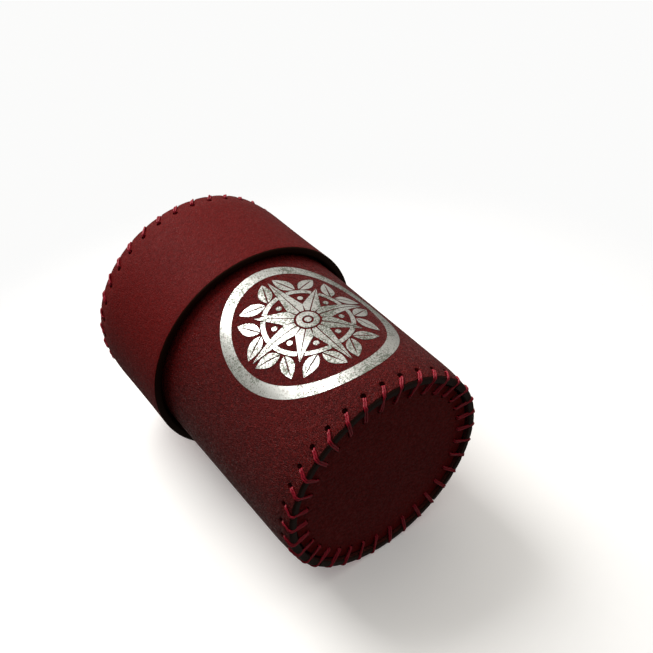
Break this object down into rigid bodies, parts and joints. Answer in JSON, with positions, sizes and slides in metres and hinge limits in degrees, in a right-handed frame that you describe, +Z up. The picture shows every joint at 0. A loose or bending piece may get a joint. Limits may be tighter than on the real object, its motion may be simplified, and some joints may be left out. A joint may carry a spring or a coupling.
{
  "type": "lidded leather dice cup",
  "caption": "Hand-stitched cylindrical leather dice cup with a wider slip-over lid, whip-stitched ends and a foil-stamped round emblem.",
  "frame": {"origin": "middle of the surface the cup stands on", "axes": "+Z up the tube's axis from the base to the lid; the emblem faces -Y and the stitched side seams are at +Y"},
  "size_m": [0.0915, 0.0914, 0.1278],
  "materials": {
    "wall_leather": "satin, smooth fine grain, edges painted black",
    "disc_leather": "satin, smooth fine grain",
    "stitch_thread": "waxed",
    "silver_foil": "hot-stamped foil, mottled satin"
  },
  "bodies": {
    "cup": {"body_wall": "wall_leather", "base_disc": "disc_leather", "base_stitch_thread": "stitch_thread", "body_seam_thread": "stitch_thread", "emblem_ring_foil": "silver_foil", "emblem_motif_foil": "silver_foil"},
    "lid": {"lid_wall": "wall_leather", "lid_top_disc": "disc_leather", "lid_stitch_thread": "stitch_thread", "lid_seam_thread": "stitch_thread"}
  },
  "joints": [
    {"name": "lid_lift", "type": "slide", "parent": "cup", "child": "lid", "axis": [0, 0, 1], "range_m": [0, 0.06]}
  ]
}
